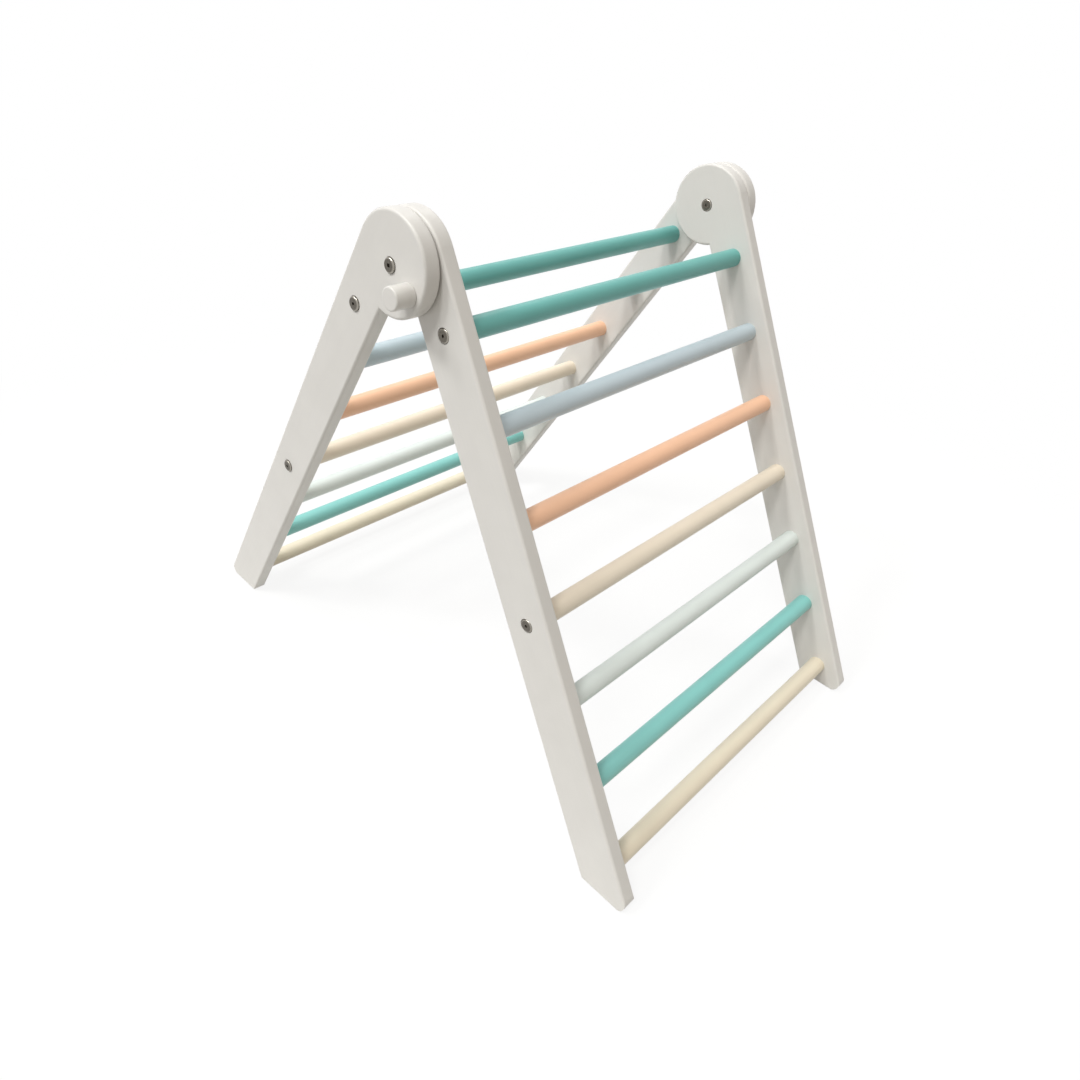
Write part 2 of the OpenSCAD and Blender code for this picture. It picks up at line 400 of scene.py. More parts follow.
@dataclass(frozen=True)
class Finish:
    """A finish: the material that gives a piece its looks, made once and shared."""

    name: str
    slot: str
    # Colour of the clean surface, as sRGB hex
    colour: str

    def material(self) -> bpy.types.Material:
        """Gives the finish's material, and makes it at the first call.

        Returns:
            The material.
        """
        found = bpy.data.materials.get(self.name)
        if found is not None:
            return found
        made = bpy.data.materials.new(self.name)
        made.use_nodes = True
        made.node_tree.nodes.clear()
        made.diffuse_color = linear_colour(self.colour)
        shader = self.shader(made.node_tree)
        add_node(made.node_tree, "ShaderNodeOutputMaterial", {"Surface": shader})
        return made

    def shader(self, tree: NodeTree) -> Node:
        """Builds the finish's nodes and returns the shader at their end."""
        raise NotImplementedError


@dataclass(frozen=True)
class PaintedWood(Finish):
    """Satin water-based paint, sprayed in two coats on sanded hardwood.

    It gives the eye an even, slightly clouded colour with a broad soft sheen, and at a slant
    the faint ribs of the grain below and the fine ripple of the sprayed coat.
    """

    # Turn about X from +Z to the way that the grain runs, in degrees, or None for a rod along X
    lean: float | None = None
    # Share of the colour's strength that is lost where the coat is thin
    cloud: float = 0.035
    cloud_w: float = 46.0
    # Real grain is about 1 mm wide; 3 mm is the least that shows from a step away
    grain_w: float = 3.0
    grain_l: float = 110.0
    ripple: float = 2.4
    # Share of the grain in the clouds, and of the ripple in the relief
    grain_share: float = 0.45
    ripple_share: float = 0.35
    # Clouds at which the coat starts to be thin and is thinnest
    thin_from: float = 0.5
    thin_to: float = 0.95
    relief: float = 0.05
    roughness: float = 0.36
    # How much smoother and rougher than that the clouds make it
    smoother: float = 0.04
    rougher: float = 0.05

    def shader(self, tree: NodeTree) -> Node:
        """Builds paint over grain, with its pattern in real sizes along the piece.

        Args:
            tree: Tree of the material.

        Returns:
            The shader.
        """
        place = add_node(tree, "ShaderNodeTexCoord").outputs["Object"]
        across, along = 1 / (self.grain_w * MM), 1 / (self.grain_l * MM)
        stretch = (along, across, across)
        if self.lean is not None:
            turned = {"Vector": place, "Rotation": (math.radians(self.lean), 0, 0)}
            place = add_node(tree, "ShaderNodeMapping", turned)
            stretch = (across, across, along)
        factors = {0: place, 1: stretch}
        stretched = add_node(tree, "ShaderNodeVectorMath", factors, operation="MULTIPLY")
        grain, ripple, cloud = (
            add_node(tree, "ShaderNodeTexNoise", {
                "Vector": at, "Scale": scale, "Detail": detail, "Roughness": breakup,
            }).outputs["Fac"]
            for at, scale, detail, breakup in (
                (stretched, 1.0, 3.0, 0.55),
                (place, 1 / (self.ripple * MM), 1.0, 0.4),
                (place, 1 / (self.cloud_w * MM), 2.0, 0.5),
            )
        )
        mottle, height = (
            add_node(tree, "ShaderNodeMath", terms, operation="MULTIPLY_ADD")
            for terms in (
                {0: grain, 1: self.grain_share, 2: cloud},
                {0: ripple, 1: self.ripple_share, 2: grain},
            )
        )
        thin = add_node(tree, "ShaderNodeMapRange", {
            "Value": mottle, "From Min": self.thin_from, "From Max": self.thin_to,
        })
        full = linear_colour(self.colour)
        faded = (*[c * (1 - self.cloud) for c in full[:3]], 1.0)
        tint = {"Factor": thin, MIX_A: full, MIX_B: faded}
        colour = add_node(tree, "ShaderNodeMix", tint, data_type="RGBA")
        sheen = add_node(tree, "ShaderNodeMapRange", {
            "Value": cloud, "From Min": 0.3, "From Max": 0.7,
            "To Min": self.roughness - self.smoother, "To Max": self.roughness + self.rougher,
        })
        bump = add_node(tree, "ShaderNodeBump", {
            "Height": height, "Strength": 1.0, "Distance": self.relief * MM,
        })
        return add_node(tree, "ShaderNodeBsdfPrincipled", {
            "Base Color": colour.outputs[MIX_RESULT], "Roughness": sheen, "Normal": bump,
            "IOR": 1.5,
        })


@dataclass(frozen=True)
class Metal(Finish):
    """A metal whose skin is broken up by fine specks, and lightened by wear and painted sheen."""

    # Colours of the specks and of the places lightened by wear and painted sheen, as sRGB hex
    dull: str
    polished: str
    # Width of a speck in millimetres, and the roughness of the clean skin
    speck: float
    roughness: float
    relief: float = 0.02
    # Noise at which a speck starts and is full, and how much rougher it then is
    speck_from: float = 0.42
    speck_to: float = 0.68
    rougher: float = 0.14

    def shader(self, tree: NodeTree) -> Node:
        """Builds the metal with its duller specks, and its wear and painted sheen.

        Args:
            tree: Tree of the material.

        Returns:
            The shader.
        """
        place = add_node(tree, "ShaderNodeTexCoord").outputs["Object"]
        specks = add_node(tree, "ShaderNodeTexNoise", {
            "Vector": place, "Scale": 1 / (self.speck * MM), "Detail": 3.0, "Roughness": 0.6,
        }).outputs["Fac"]
        share = add_node(tree, "ShaderNodeMapRange", {
            "Value": specks, "From Min": self.speck_from, "From Max": self.speck_to,
        })
        tones = (self.colour, self.dull, self.polished)
        clean, dull, polished = (linear_colour(tone) for tone in tones)
        # Painted reflection and wear: the lighter colour follows the attribute on a head's rim
        worn = add_node(tree, "ShaderNodeAttribute", attribute_name=WEAR_AND_SHEEN).outputs["Fac"]
        colour = clean
        for factor, other in ((share, dull), (worn, polished)):
            tint = {"Factor": factor, MIX_A: colour, MIX_B: other}
            colour = add_node(tree, "ShaderNodeMix", tint, data_type="RGBA").outputs[MIX_RESULT]
        sheen = add_node(tree, "ShaderNodeMapRange", {
            "Value": share, "To Min": self.roughness, "To Max": self.roughness + self.rougher,
        })
        bump = add_node(tree, "ShaderNodeBump", {"Height": specks, "Distance": self.relief * MM})
        return add_node(tree, "ShaderNodeBsdfPrincipled", {
            "Base Color": colour, "Metallic": 1.0, "Roughness": sheen, "Normal": bump,
        })


@dataclass(frozen=True)
class PlatedSteel(Metal):
    """Cold-headed steel with a dark nickel plating, tumbled in a barrel.

    It gives the eye a grey-brown metal with soft reflections that break up in fine specks. Its
    colour is dark partly from the plating and partly as a painted stand-in for the dark
    surroundings that it reflects. A head's rounded edge gets a painted bright reflection, which
    also stands for the wear of handling.
    """

    name: str = "dark nickel-plated steel"
    slot: str = "nickel_steel"
    # Darker than the plating alone: painted shade for the dark surroundings that it reflects
    colour: str = "#6f6a62"
    dull: str = "#57534c"
    # Colour of the painted bright reflection on a head's rim, which also stands for wear
    polished: str = "#9f9a91"
    speck: float = 1.1
    roughness: float = 0.26


@dataclass(frozen=True)
class TurnedBrass(Metal):
    """Free-cutting brass, left as turned on an automatic lathe.

    It gives the eye a pale yellow metal, a little dulled by handling.
    """

    name: str = "turned brass"
    slot: str = "brass"
    colour: str = "#b89b5e"
    dull: str = "#9a7f49"
    polished: str = "#d0b67c"
    speck: float = 1.6
    roughness: float = 0.34


@dataclass(frozen=True)
class MouldedNylon(Finish):
    """Natural nylon 6, injection moulded in an eroded tool.

    It gives the eye a milky off-white with a dull, fine-grained skin.
    """

    name: str = "natural moulded nylon"
    slot: str = "nylon"
    colour: str = "#d9d7cf"
    grit: float = 0.8
    relief: float = 0.02
    smoothest: float = 0.42
    roughest: float = 0.58
    # Share of the light that passes below the skin, and how far
    milk: float = 0.1
    depth: float = 1.5

    def shader(self, tree: NodeTree) -> Node:
        """Builds the milky body with an eroded skin.

        Args:
            tree: Tree of the material.

        Returns:
            The shader.
        """
        place = add_node(tree, "ShaderNodeTexCoord").outputs["Object"]
        grain = {"Vector": place, "Scale": 1 / (self.grit * MM), "Detail": 2.0}
        skin = add_node(tree, "ShaderNodeTexNoise", grain).outputs["Fac"]
        limits = {"Value": skin, "To Min": self.smoothest, "To Max": self.roughest}
        sheen = add_node(tree, "ShaderNodeMapRange", limits)
        bump = add_node(tree, "ShaderNodeBump", {"Height": skin, "Distance": self.relief * MM})
        return add_node(tree, "ShaderNodeBsdfPrincipled", {
            "Base Color": linear_colour(self.colour), "Roughness": sheen, "Normal": bump,
            "IOR": 1.53, "Subsurface Weight": self.milk, "Subsurface Scale": self.depth * MM,
        })


NICKEL = PlatedSteel()
BRASS = TurnedBrass()
NYLON = MouldedNylon()


# ---- shapes that follow a rule ----


class ShapeTree:
    """A Geometry Nodes tree with named inputs, and the plain meshes that it makes."""

    def __init__(self, name: str, sockets: dict[str, str]) -> None:
        """Starts the tree.

        Args:
            name: Name of the tree.
            sockets: The type of each named input.
        """
        self.tree = bpy.data.node_groups.new(name, "GeometryNodeTree")
        self.keys: dict[str, str] = {}
        face = self.tree.interface
        for label, kind in {**sockets, "Finish": "NodeSocketMaterial"}.items():
            socket = face.new_socket(label, in_out="INPUT", socket_type=kind)
            self.keys[label] = socket.identifier
        face.new_socket("Geometry", in_out="OUTPUT", socket_type="NodeSocketGeometry")
        self.given = self.add("NodeGroupInput").outputs

    def add(self, kind: str, inputs: Inputs | None = None, **settings: Any) -> Node:
        """Adds a node to the tree."""
        return add_node(self.tree, kind, inputs, **settings)

    def end(self, geometry: Node) -> None:
        """Ends the tree: real geometry with the finish on it.

        Args:
            geometry: What the tree has made.
        """
        real = self.add("GeometryNodeRealizeInstances", {"Geometry": geometry})
        dress = {"Geometry": real, "Material": self.given["Finish"]}
        self.add("NodeGroupOutput", {"Geometry": self.add("GeometryNodeSetMaterial", dress)})

    def mesh(self, finish: Finish, values: dict[str, Any]) -> Mesh:
        """Makes a plain mesh from the tree.

        Args:
            finish: The finish that is set on it.
            values: A value for each named input.

        Returns:
            The mesh, with nothing left of the modifier.
        """
        carrier = new_object("carrier", bpy.data.meshes.new("carrier"))
        modifier = carrier.modifiers.new("shape", "NODES")
        modifier.node_group = self.tree
        for label, value in {**values, "Finish": finish.material()}.items():
            modifier[self.keys[label]] = value
        evaluated = carrier.evaluated_get(bpy.context.evaluated_depsgraph_get())
        mesh = bpy.data.meshes.new_from_object(evaluated)
        carrier.modifiers.remove(modifier)
        bpy.data.objects.remove(carrier)
        mesh.materials.clear()
        mesh.materials.append(finish.material())
        mesh.polygons.foreach_set("material_index", [0] * len(mesh.polygons))
        smooth_mesh(mesh)
        return mesh


class RungTree(ShapeTree):
    """A round rung along X with chamfered ends, and pockets in its ends where it is bolted."""

    FACETS = 64
    POCKET_FACETS = 32

    def __init__(self) -> None:
        """Builds the tree."""
        sizes = ("Half length", "Radius", "Chamfer", "Insert radius", "Insert depth")
        sockets = dict.fromkeys((*sizes, "Bolt radius", "Bolt depth"), "NodeSocketFloat")
        sockets["Middle"] = "NodeSocketVector"
        sockets["Bolted"] = "NodeSocketBool"
        super().__init__("round_rung", sockets)
        given = self.given
        rod = self.chamfered_rod()
        pockets = [
            self.pocket(end, given[f"{drill} radius"], given[f"{drill} depth"])
            for end in End
            for drill in ("Insert", "Bolt")
        ]
        cutters = self.add("GeometryNodeJoinGeometry", {"Geometry": pockets})
        cut = {"Mesh 1": rod, "Mesh 2": cutters, "Self Intersection": True}
        drilled = self.add("GeometryNodeMeshBoolean", cut, operation="DIFFERENCE", solver="EXACT")
        choice = {"Switch": given["Bolted"], "False": rod, "True": drilled}
        chosen = self.add("GeometryNodeSwitch", choice, input_type="GEOMETRY")
        placing = {"Geometry": chosen, "Translation": given["Middle"]}
        self.end(self.add("GeometryNodeTransform", placing))

    def chamfered_rod(self) -> Node:
        """Makes the rod from four places on its axis: an end, two chamfers and an end.

        Returns:
            The rod's geometry.
        """
        half, radius, chamfer = (self.given[i] for i in ("Half length", "Radius", "Chamfer"))
        number = self.add("GeometryNodeInputIndex")
        from_middle = self.add("ShaderNodeMath", {0: number, 1: 1.5}, operation="SUBTRACT")
        side = self.add("ShaderNodeMath", {0: from_middle}, operation="SIGN")
        apart = self.add("ShaderNodeMath", {0: from_middle}, operation="ABSOLUTE")
        # 1 at the two chamfers and 0 at the two ends, and the other way round
        inner = self.add("ShaderNodeMath", {0: apart, 1: 1.0}, operation="LESS_THAN")
        outer = self.add("ShaderNodeMath", {0: 1.0, 1: inner}, operation="SUBTRACT")
        shorter, thinner = (
            self.add("ShaderNodeMath", {0: chamfer, 1: share}, operation="MULTIPLY")
            for share in (inner, outer)
        )
        reach, size = (
            self.add("ShaderNodeMath", {0: whole, 1: less}, operation="SUBTRACT")
            for whole, less in ((half, shorter), (radius, thinner))
        )
        place = self.add("ShaderNodeMath", {0: side, 1: reach}, operation="MULTIPLY")
        at_place = self.add("ShaderNodeCombineXYZ", {"X": place})
        points = self.add("GeometryNodeMeshLine", {"Count": 4}, mode="OFFSET")
        moved = self.add("GeometryNodeSetPosition", {"Geometry": points, "Position": at_place})
        line = self.add("GeometryNodeMeshToCurve", {"Mesh": moved})
        sized = self.add("GeometryNodeSetCurveRadius", {"Curve": line, "Radius": size})
        outline = {"Resolution": self.FACETS, "Radius": 1.0}
        circle = self.add("GeometryNodeCurvePrimitiveCircle", outline)
        widths = self.add("GeometryNodeInputRadius")
        return self.add("GeometryNodeCurveToMesh", {
            "Curve": sized, "Profile Curve": circle, "Scale": widths, "Fill Caps": True,
        })

    def pocket(self, end: End, radius: Socket, depth: Socket) -> Node:
        """Makes what is drilled out of one end: a cylinder of twice the depth, on the end face.

        Args:
            end: The end of the rung.
            radius: Radius of the pocket.
            depth: Its depth.

        Returns:
            The cylinder's geometry.
        """
        length = self.add("ShaderNodeMath", {0: depth, 1: 2.0}, operation="MULTIPLY")
        sizes = {"Vertices": self.POCKET_FACETS, "Radius": radius, "Depth": length}
        drill = self.add("GeometryNodeMeshCylinder", sizes)
        shares = {0: self.given["Half length"], 1: float(end.value)}
        face = self.add("ShaderNodeMath", shares, operation="MULTIPLY")
        return self.add("GeometryNodeTransform", {
            "Geometry": drill, "Translation": self.add("ShaderNodeCombineXYZ", {"X": face}),
            "Rotation": (0, math.pi / 2, 0),
        })


class ThreadTree(ShapeTree):
    """The ridge of a screw thread, wound round X from a start towards -X."""

    STEPS_A_TURN = 24
    # Half the width of the ridge's foot, as a share of the pitch
    HALF_FOOT = 0.42

    def __init__(self) -> None:
        """Builds the tree."""
        sizes = ("Start", "Turns", "Pitch", "Root radius", "Ridge", "Sink")
        super().__init__("thread_ridge", dict.fromkeys(sizes, "NodeSocketFloat"))
        given = self.given
        rise = {0: given["Turns"], 1: given["Pitch"]}
        helix = self.add("GeometryNodeCurveSpiral", {
            "Resolution": self.STEPS_A_TURN, "Rotations": given["Turns"],
            "Start Radius": given["Root radius"], "End Radius": given["Root radius"],
            "Height": self.add("ShaderNodeMath", rise, operation="MULTIPLY"),
        })
        upright = self.add("GeometryNodeSetCurveNormal", {"Curve": helix}, mode="Z_UP")
        sweep = {"Curve": upright, "Profile Curve": self.tooth(), "Fill Caps": True}
        placing = {
            "Geometry": self.add("GeometryNodeCurveToMesh", sweep),
            "Translation": self.add("ShaderNodeCombineXYZ", {"X": given["Start"]}),
            "Rotation": (0, -math.pi / 2, 0),
        }
        self.end(self.add("GeometryNodeTransform", placing))

    def tooth(self) -> Node:
        """Makes the tooth's outline: a triangle whose foot is sunk in the core.

        Returns:
            The outline's curve.
        """
        given = self.given
        low, half, other_half = (
            self.add("ShaderNodeMath", {0: size, 1: share}, operation="MULTIPLY")
            for size, share in (
                (given["Sink"], -1.0),
                (given["Pitch"], self.HALF_FOOT),
                (given["Pitch"], -self.HALF_FOOT),
            )
        )
        number = self.add("GeometryNodeInputIndex")
        chooser = self.add("GeometryNodeIndexSwitch", {"Index": number}, data_type="VECTOR")
        chooser.index_switch_items.new()
        corners = ((low, half), (low, other_half), (given["Ridge"], 0.0))
        for i, (x, y) in enumerate(corners, start=1):
            place = self.add("ShaderNodeCombineXYZ", {"X": x, "Y": y})
            self.tree.links.new(place.outputs[0], chooser.inputs[i])
        ring = self.add("GeometryNodeCurvePrimitiveCircle", {"Resolution": len(corners)})
        return self.add("GeometryNodeSetPosition", {"Geometry": ring, "Position": chooser})


class FastenerTree(ShapeTree):
    """The same fastener at both ends of some rungs of a ladder, each turned by chance."""

    SEED = 11

    def __init__(self) -> None:
        """Builds the tree."""
        super().__init__("rung_fasteners", {
            "Fastener": "NodeSocketObject", "Rungs": "NodeSocketInt", "Seat": "NodeSocketFloat",
            "First rung": "NodeSocketVector", "Step": "NodeSocketVector",
        })
        given = self.given
        first, step = given["First rung"], given["Step"]
        row = {"Count": given["Rungs"], "Start Location": first, "Offset": step}
        places = self.add("GeometryNodeMeshLine", row, mode="OFFSET")
        source = {"Object": given["Fastener"], "As Instance": True}
        blank = self.add("GeometryNodeObjectInfo", source).outputs["Geometry"]
        both = [self.seated(end, places, blank) for end in End]
        self.end(self.add("GeometryNodeJoinGeometry", {"Geometry": both}))

    def seated(self, end: End, places: Node, blank: Socket) -> Node:
        """Sets a fastener in one end of each rung, turned by chance.

        Args:
            end: The end of the rungs.
            places: Points in the middle of the rungs.
            blank: The fastener, made along +X.

        Returns:
            The fasteners of that end.
        """
        reach = {0: self.given["Seat"], 1: float(end.value)}
        seat = self.add("ShaderNodeMath", reach, operation="MULTIPLY")
        shift = self.add("ShaderNodeCombineXYZ", {"X": seat})
        seats = self.add("GeometryNodeTransform", {"Geometry": places, "Translation": shift})
        # Inputs 2 and 3 and output 1 are the node's own for a plain number
        chance = {2: 0.0, 3: 2 * math.pi, "Seed": self.SEED + end.value}
        twist = self.add("FunctionNodeRandomValue", chance, data_type="FLOAT").outputs[1]
        turn = self.add("ShaderNodeCombineXYZ", {"X": twist, "Z": end.turn})
        return self.add("GeometryNodeInstanceOnPoints", {
            "Points": seats, "Instance": blank, "Rotation": turn,
        })


# ---- fasteners ----


@dataclass(frozen=True)
class RoundHead:
    """The low round head of a furniture bolt, with a hexagon socket. Its seat is at x = 0."""

    d: float
    h: float
    hexagon: float
    # Rounding of the edge, which is handled and worn, and gets a painted bright reflection
    edge: float = 2.4
    # How much the head's middle stands above the rounding
    crown: float = 0.2
    socket: float = 2.4
    bevel: float = 0.3
    # Share lightened at the socket's mouth, by wear and a painted bright reflection
    mouth_wear: float = 0.4
    steps: int = 8

    def top(self, r: float) -> float:
        """Gives the height of the crowned top above the seat, at a distance from the axis."""
        return self.h - self.crown * (r / (self.d / 2 - self.edge)) ** 2

    def rings(self) -> list[Ring]:
        """Gives its profile.

        Returns:
            The rings from the seat's outer edge to the floor of the socket.
        """
        flat = self.d / 2 - self.edge
        flats = self.hexagon / 2
        mouth = flats / math.cos(math.pi / 6) + self.bevel
        rounding = arc_rings(self.top(flat) - self.edge, flat, self.edge, 90, 0, self.steps)
        # Painted bright reflection and wear, strongest halfway round the rounding
        rim_wear_and_sheen = [math.sin(math.pi * i / self.steps) for i in range(self.steps + 1)]
        crown = [flat + (mouth - flat) * i / self.steps for i in range(1, self.steps + 1)]
        floor = self.h - self.socket
        return [
            Ring(0, self.d / 2),
            *[replace(ring, worn=share) for ring, share in zip(rounding, rim_wear_and_sheen)],
            *[Ring(self.top(r), r) for r in crown],
            Ring(self.top(mouth) - self.bevel, flats, hexagon=True, worn=self.mouth_wear),
            Ring(floor, flats, hexagon=True), Ring(floor - self.bevel, 0),
        ]


@dataclass(frozen=True)
class Thread:
    """A screw thread: its outer diameter, pitch and depth, in millimetres."""

    d: float
    pitch: float
    depth: float
    # How deep the ridge's foot lies in the core
    sink: float = 0.15
    # Length at the tip that has no ridge
    clear: float = 1.0

    @property
    def core_r(self) -> float:
        """Gives the radius below the thread's ridge."""
        return self.d / 2 - self.depth

    def ridge(self, tree: ThreadTree, finish: Finish, start: float, end: float) -> Mesh:
        """Makes the ridge of a stretch of thread.

        Args:
            tree: The tree that winds it.
            finish: Its finish.
            start: Its end towards +X, in millimetres.
            end: Its end towards -X.

        Returns:
            The ridge's mesh.
        """
        return tree.mesh(finish, {
            "Start": (start - self.pitch / 2) * MM, "Turns": (start - end) / self.pitch - 1,
            "Pitch": self.pitch * MM, "Root radius": self.core_r * MM,
            "Ridge": self.depth * MM, "Sink": self.sink * MM,
        })


@dataclass(frozen=True)
class HeadedBolt:
    """A furniture bolt that faces +X: a round head, a plain neck and a threaded shank."""

    thread: Thread
    head: RoundHead
    neck_l: float
    # Chamfer at either end of the thread
    lead: float

    def mesh(self, tree: ThreadTree, tip: float, seat: float) -> Mesh:
        """Makes the bolt between two places on the X axis.

        Args:
            tree: The tree that winds its thread.
            tip: Place of its tip, in millimetres.
            seat: Place of its head's seat.

        Returns:
            The bolt's mesh.
        """
        r, core, neck = self.thread.d / 2, self.thread.core_r, seat - self.neck_l
        rings = [
            Ring(tip, 0), Ring(tip, core - self.lead), Ring(tip + self.lead, core),
            Ring(neck - self.lead, core), Ring(neck, r), Ring(seat, r),
            *[replace(ring, x=seat + ring.x) for ring in self.head.rings()],
        ]
        ridge = self.thread.ridge(tree, NICKEL, neck, tip + self.thread.clear)
        return joined_mesh(turned_mesh(rings), ridge)


@dataclass(frozen=True)
class Insert:
    """A brass insert for wood that faces +X: a collar, and a coarse thread outside."""

    thread: Thread
    bore: float
    collar: float = 1.2
    # Countersink of the bore, and chamfer of the collar
    mouth: float = 0.0
    rim: float = 0.0
    # Chamfer at the inner end
    lead: float = 0.8
    # Where the ridge starts, below the outer end
    ridge_from: float = 1.6

    def mesh(self, tree: ThreadTree, inner: float, outer: float, r: float) -> Mesh:
        """Makes the insert between two places on the X axis.

        Args:
            tree: The tree that winds its thread.
            inner: Place of its inner end, in millimetres.
            outer: Place of its outer end.
            r: Radius of its collar.

        Returns:
            The insert's mesh.
        """
        bore, core, neck = self.bore / 2, self.thread.core_r, outer - self.collar
        rings = (
            Ring(outer, bore + self.mouth), Ring(outer, r - self.rim), Ring(outer - self.rim, r),
            Ring(neck, r), Ring(neck - self.thread.depth, core), Ring(inner + self.lead, core),
            Ring(inner, core - self.lead), Ring(inner, bore + self.mouth),
            Ring(inner + self.mouth, bore), Ring(outer - self.mouth, bore),
        )
        # Two rings fall together where there is no countersink or chamfer
        tube = turned_mesh(list(dict.fromkeys(rings)), tube=True)
        start, end = outer - self.ridge_from, inner + self.thread.clear
        return joined_mesh(tube, self.thread.ridge(tree, BRASS, start, end))


# ---- sub-assemblies ----


@dataclass
class Rails:
    """The four white rails, whose shape is the CAD's own."""

    # Angle between a ladder and the upright, in degrees
    half_open: float

    def dress(self, nodes: dict[str, bpy.types.Object]) -> None:
        """Paints the rails, with the grain along each.

        Args:
            nodes: The frame's CAD objects by name.
        """
        for ladder in Ladder:
            name = f"white satin paint on {ladder.word} rails"
            lean = -ladder.value * self.half_open
            paint = PaintedWood(name, "white_paint", WHITE_PAINT, lean=lean)
            for end in End:
                rail = nodes[f"{ladder.word}_{end.word}_rail"]
                rail.data.materials[0] = paint.material()
                LOG.info("rail %s painted", rail.name)


@dataclass
class Rungs:
    """The fourteen painted rungs, seven a ladder."""

    chamfer: float = 1.0
    # Pockets in the ends of the bolted rungs, for the insert and the bolt behind it
    insert_d: float = 10.1
    insert_depth: float = 16.0
    bolt_d: float = 6.6
    bolt_depth: float = 38.0
    tree: RungTree = field(default_factory=RungTree)

    def build(self) -> None:
        """Makes each rung in the place of its CAD node."""
        for ladder in Ladder:
            for number, paint in enumerate(RUNG_ORDER, start=1):
                self.add_rung(ladder, number, paint)

    def add_rung(self, ladder: Ladder, number: int, paint: RungPaint) -> None:
        """Makes one rung.

        Args:
            ladder: The ladder that it belongs to.
            number: Its number from the top.
            paint: Its colour.
        """
        node = f"{ladder.word}_rung_{number}"
        low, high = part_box(node)
        finish = PaintedWood(f"satin {paint.word} paint on rod", paint.slot, paint.colour)
        mesh = self.tree.mesh(finish, {
            "Half length": high.x, "Radius": (high.y - low.y) / 2, "Chamfer": self.chamfer * MM,
            "Insert radius": self.insert_d / 2 * MM, "Insert depth": self.insert_depth * MM,
            "Bolt radius": self.bolt_d / 2 * MM, "Bolt depth": self.bolt_depth * MM,
            "Middle": (low + high) / 2, "Bolted": number in BOLTED_RUNGS,
        })
        add_piece(f"{node}_painted", mesh, finish, ladder.body, [node])


@dataclass
class RungFasteners:
    """The bolts through the rails into the 1st and 4th rungs, and the inserts that hold them."""

    threads: ThreadTree
    bolt: HeadedBolt = HeadedBolt(
        Thread(d=6, pitch=1.0, depth=0.6),
        RoundHead(d=18.5, h=3.4, hexagon=4),
        neck_l=9.0, lead=0.6,
    )
    bolt_l: float = 38.0
    insert: Insert = Insert(Thread(d=10, pitch=2.5, depth=0.9), bore=6.1, mouth=0.4, rim=0.3)
    insert_l: float = 16.0
    tree: FastenerTree = field(default_factory=FastenerTree)

    def bolt_blank(self) -> Mesh:
        """Makes one bolt, with its head's seat at x = 0 and its shank towards -X."""
        return self.bolt.mesh(self.threads, -self.bolt_l, 0)

    def insert_blank(self) -> Mesh:
        """Makes one insert, with its outer end at x = 0."""
        return self.insert.mesh(self.threads, -self.insert_l, 0, self.insert.thread.d / 2)

    def build(self) -> None:
        """Makes each ladder's bolts and inserts, both as one group of four."""
        blanks = {"bolts": (self.bolt_blank(), NICKEL), "inserts": (self.insert_blank(), BRASS)}
        for kind, (blank, finish) in blanks.items():
            pattern = new_object(f"rung_{kind}_pattern", blank)
            for ladder in Ladder:
                self.add_row(ladder, kind, pattern, finish)
            bpy.data.objects.remove(pattern)

    def add_row(
        self, ladder: Ladder, kind: str, pattern: bpy.types.Object, finish: Finish
    ) -> None:
        """Makes one ladder's fasteners of a kind.

        Args:
            ladder: The ladder.
            kind: "bolts" or "inserts", as in the node's name.
            pattern: Object that holds one of them.
            finish: Their finish.
        """
        node = f"{ladder.word}_rung_{kind}"
        rungs = [f"{ladder.word}_rung_{number}" for number in BOLTED_RUNGS]
        first, last = node_middle(rungs[0]), node_middle(rungs[-1])
        above_seat = self.bolt.head.h * MM if kind == "bolts" else 0.0
        mesh = self.tree.mesh(finish, {
            "Fastener": pattern, "Rungs": len(rungs), "First rung": first,
            "Step": (last - first) / (len(rungs) - 1), "Seat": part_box(node)[1].x - above_seat,
        })
        add_piece(f"{node}_turned", mesh, finish, ladder.body, [node])


